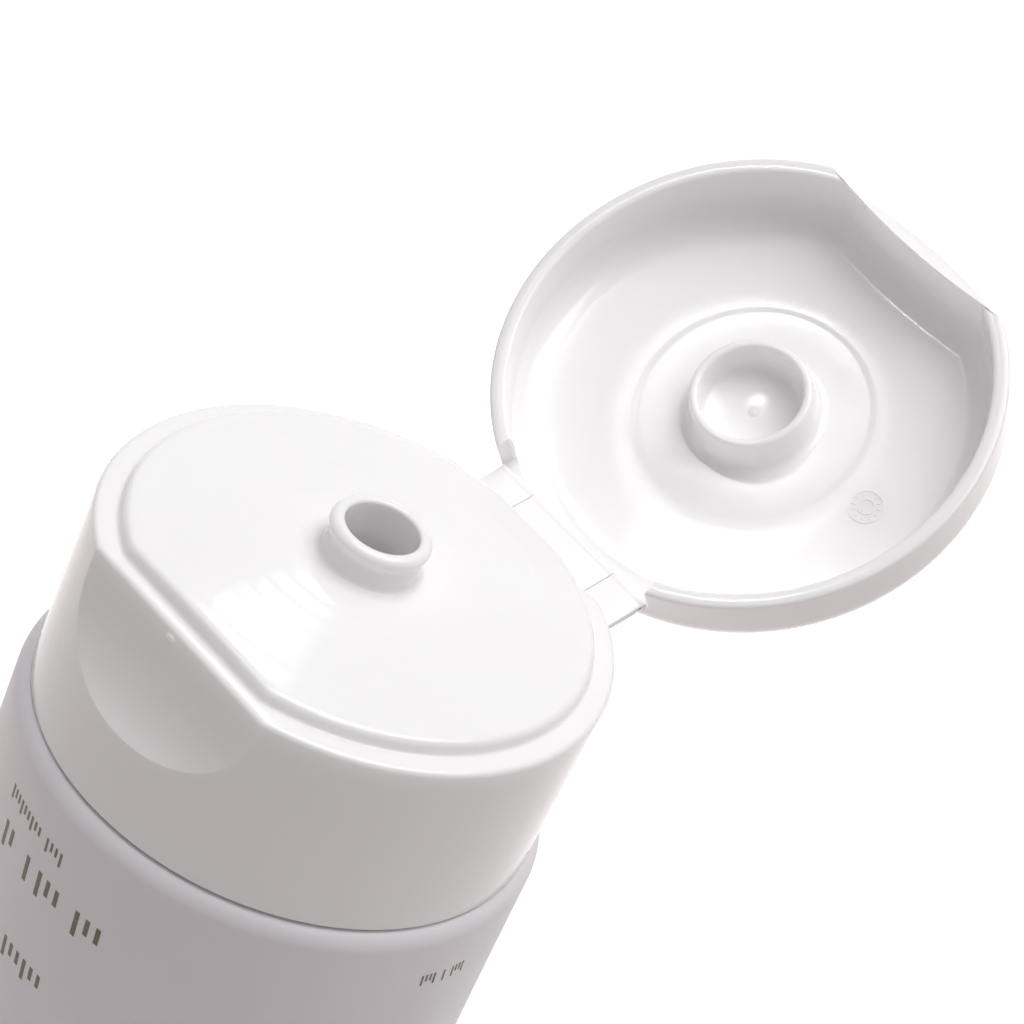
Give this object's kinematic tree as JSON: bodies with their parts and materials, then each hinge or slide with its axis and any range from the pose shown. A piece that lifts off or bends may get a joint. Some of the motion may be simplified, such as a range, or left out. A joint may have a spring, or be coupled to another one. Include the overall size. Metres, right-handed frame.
{
  "type": "squeeze tube with flip-top cap",
  "caption": "Round-shouldered squeeze tube with a flat welded tail and a flip-top cap, its lid held open on a double film hinge",
  "frame": {"origin": "middle of the tail's end edge, on the tube's axis", "axes": "+Z along the tube from the tail to the nozzle, +Y towards the cap's hinge, -Y towards its thumb scoop, +X along the welded tail"},
  "size_m": [0.0628, 0.0736, 0.1269],
  "materials": {
    "tube_plastic": "satin white polyethylene",
    "head_plastic": "moulded white polyethylene",
    "cap_plastic": "glossy moulded white polypropylene",
    "cream": "soft white cream"
  },
  "bodies": {
    "tube": {"tube_sleeve": "tube_plastic", "tail_crimp": "tube_plastic", "tube_head": "head_plastic", "cream_fill": "cream", "cap_base": "cap_plastic", "neck_socket": "cap_plastic", "plug_seal": "cap_plastic", "nozzle_spout": "cap_plastic"},
    "hinge_link": {"hinge_strap": "cap_plastic", "hinge_tab_left": "cap_plastic", "hinge_tab_right": "cap_plastic"},
    "lid": {"lid_shell": "cap_plastic", "lid_seal_ring": "cap_plastic"}
  },
  "joints": [
    {"name": "strap_turn", "type": "hinge", "parent": "tube", "child": "hinge_link", "pos_m": [0, 0.01736, 0.10229], "axis": [-1, 0, 0], "range_deg": [-71.2, 18.8]},
    {"name": "lid_turn", "type": "hinge", "parent": "hinge_link", "child": "lid", "pos_m": [0, 0.0232, 0.10428], "axis": [-1, 0, 0], "range_deg": [-71.2, 18.8]}
  ],
  "couplings": [
    {"joint": "lid_turn", "follows": "strap_turn", "ratio": 1}
  ]
}
